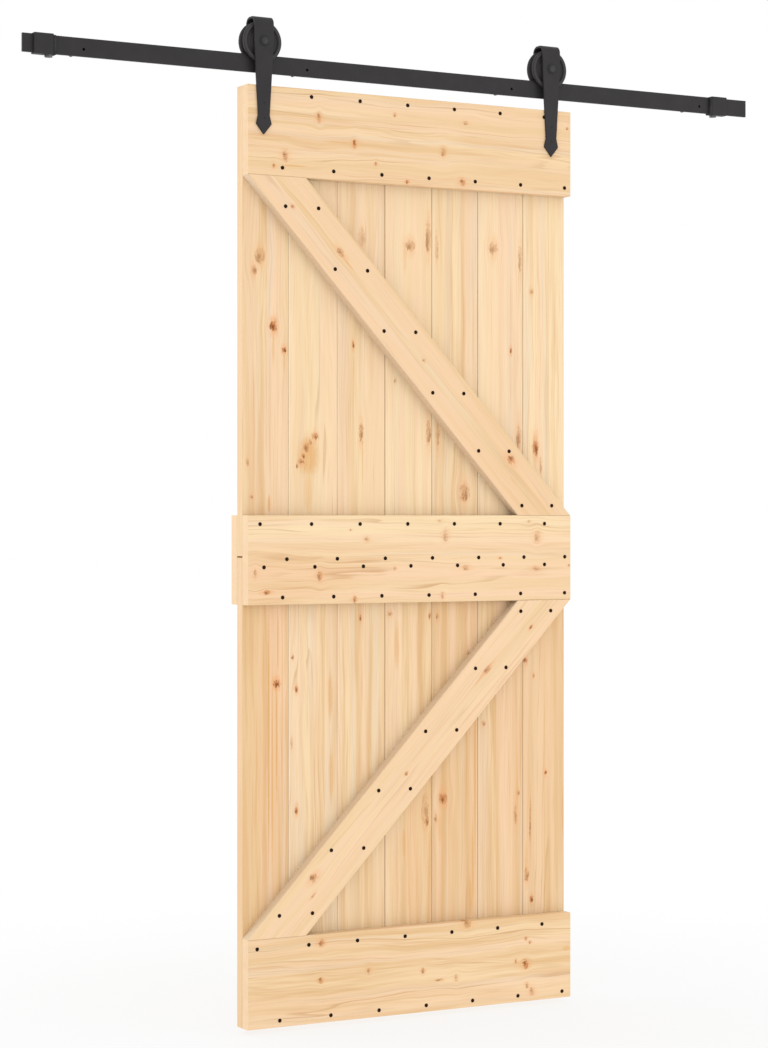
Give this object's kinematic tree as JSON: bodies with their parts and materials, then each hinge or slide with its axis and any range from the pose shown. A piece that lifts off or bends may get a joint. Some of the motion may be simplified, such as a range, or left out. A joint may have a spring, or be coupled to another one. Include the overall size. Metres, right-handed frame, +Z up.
{
  "type": "sliding barn door with track",
  "caption": "Sliding plank door of pale pine with rails and diagonal braces in a K, hung by arrow-tipped straps and grooved wheels on a flat black steel wall track with end stops.",
  "frame": {"origin": "on the wall plane, at the middle of the row of track bolts", "axes": "+X to the right along the track, -Y out from the wall into the room, +Z up"},
  "size_m": [1.9, 0.1, 2.253],
  "materials": {
    "pine_plank": "planed, unfinished",
    "pine_rail": "planed, unfinished",
    "black_screw": "black",
    "black_steel": "satin powder coat",
    "bright_steel": "zinc plated",
    "black_rubber": "matt"
  },
  "bodies": {
    "track": {"track_bar": "black_steel", "wall_standoffs": "black_steel", "left_stop": "black_steel", "right_stop": "black_steel", "left_bumper": "black_rubber", "right_bumper": "black_rubber", "stop_screws": "bright_steel"},
    "door": {"upper_plank_1": "pine_plank", "upper_plank_2": "pine_plank", "upper_plank_3": "pine_plank", "upper_plank_4": "pine_plank", "upper_plank_5": "pine_plank", "upper_plank_6": "pine_plank", "upper_plank_7": "pine_plank", "lower_plank_1": "pine_plank", "lower_plank_2": "pine_plank", "lower_plank_3": "pine_plank", "lower_plank_4": "pine_plank", "lower_plank_5": "pine_plank", "lower_plank_6": "pine_plank", "lower_plank_7": "pine_plank", "top_rail": "pine_rail", "middle_rail": "pine_rail", "bottom_rail": "pine_rail", "back_middle_rail": "pine_rail", "upper_brace": "pine_rail", "lower_brace": "pine_rail", "top_rail_screws": "black_screw", "middle_rail_screws": "black_screw", "bottom_rail_screws": "black_screw", "upper_brace_screws": "black_screw", "lower_brace_screws": "black_screw", "left_hanger_strap": "black_steel", "right_hanger_strap": "black_steel", "strap_screws": "black_screw", "axle_bolts": "black_steel", "axle_nuts": "black_steel", "axle_spacers": "bright_steel"},
    "left_wheel": {"left_wheel": "black_steel", "left_wheel_bearing": "bright_steel"},
    "right_wheel": {"right_wheel": "black_steel", "right_wheel_bearing": "bright_steel"}
  },
  "joints": [
    {"name": "door_slide", "type": "slide", "parent": "track", "child": "door", "axis": [1, 0, 0], "range_m": [-0.4506, 0.4306]},
    {"name": "left_wheel_spin", "type": "hinge", "parent": "door", "child": "left_wheel", "pos_m": [-0.387, -0.073, 0.0525], "axis": [0, 1, 0], "continuous": true},
    {"name": "right_wheel_spin", "type": "hinge", "parent": "door", "child": "right_wheel", "pos_m": [0.369, -0.073, 0.0525], "axis": [0, 1, 0], "continuous": true}
  ],
  "couplings": [
    {"joint": "left_wheel_spin", "follows": "door_slide", "rad_per_m": 35.461},
    {"joint": "right_wheel_spin", "follows": "door_slide", "rad_per_m": 35.461}
  ]
}
